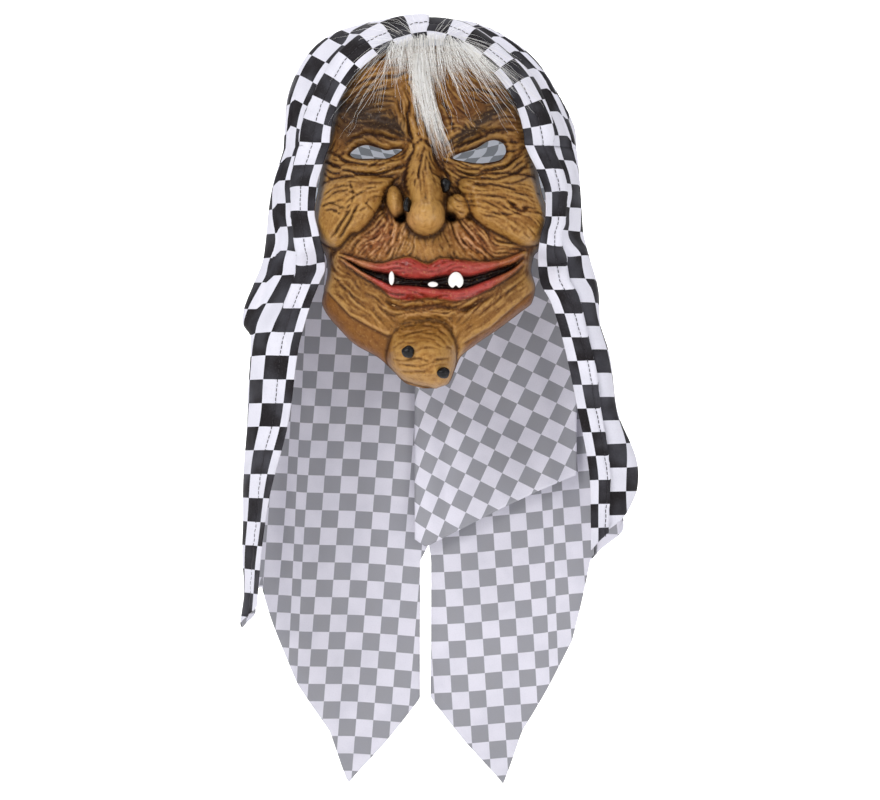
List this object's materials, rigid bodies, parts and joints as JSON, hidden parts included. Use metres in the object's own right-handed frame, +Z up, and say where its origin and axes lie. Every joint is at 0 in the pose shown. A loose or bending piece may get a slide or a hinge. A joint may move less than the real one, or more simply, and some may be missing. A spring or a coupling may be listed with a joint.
{
  "type": "hooded witch mask",
  "caption": "Grotesque latex face with warts, teeth and a hair tuft, framed by a checked cloth hood whose sides hang as drapes and whose back ends in pointed tails.",
  "frame": {"origin": "inside of the hood's crown, where it sits on the wearer's head", "axes": "+Z up along the hanging drapes, -Y the way the face looks, +X to the right as seen from in front of the face"},
  "size_m": [0.3028, 0.2235, 0.5912],
  "materials": {
    "latex": "satin",
    "checked_cloth": "matte",
    "hair": "satin",
    "wart_paint": "gloss",
    "tooth_paint": "gloss"
  },
  "bodies": {
    "root": {"mask_face": "latex", "hood": "checked_cloth", "back_panel_left": "checked_cloth", "back_panel_right": "checked_cloth", "inner_panel": "checked_cloth", "hair_tuft": "hair", "nose_wart_upper": "wart_paint", "nose_wart_side": "wart_paint", "chin_wart_left": "wart_paint", "chin_wart_right": "wart_paint", "tooth_left": "tooth_paint", "tooth_lower": "tooth_paint", "tooth_right": "tooth_paint"}
  },
  "joints": []
}
